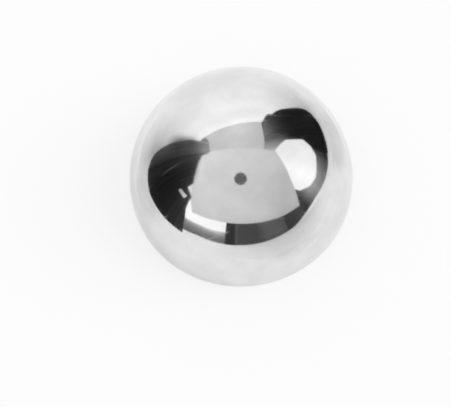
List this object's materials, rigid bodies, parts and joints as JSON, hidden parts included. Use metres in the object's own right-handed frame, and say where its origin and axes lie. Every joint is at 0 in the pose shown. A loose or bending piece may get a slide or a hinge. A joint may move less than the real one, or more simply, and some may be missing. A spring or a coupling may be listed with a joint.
{
  "type": "steel hemisphere",
  "caption": "Solid steel half ball with a mirror-polished dome, standing on its flat base with the crown up.",
  "frame": {"origin": "centre of the flat base, which is also the centre of the sphere that the dome is part of", "axes": "+Z from the flat base to the crown of the dome; the part is a body of revolution about Z, so X and Y are free"},
  "size_m": [0.05, 0.05, 0.025],
  "materials": {
    "polished_steel": "solid bright steel, mirror-polished dome and ground base, with no plating"
  },
  "bodies": {
    "root": {"hemisphere": "polished_steel"}
  },
  "joints": []
}
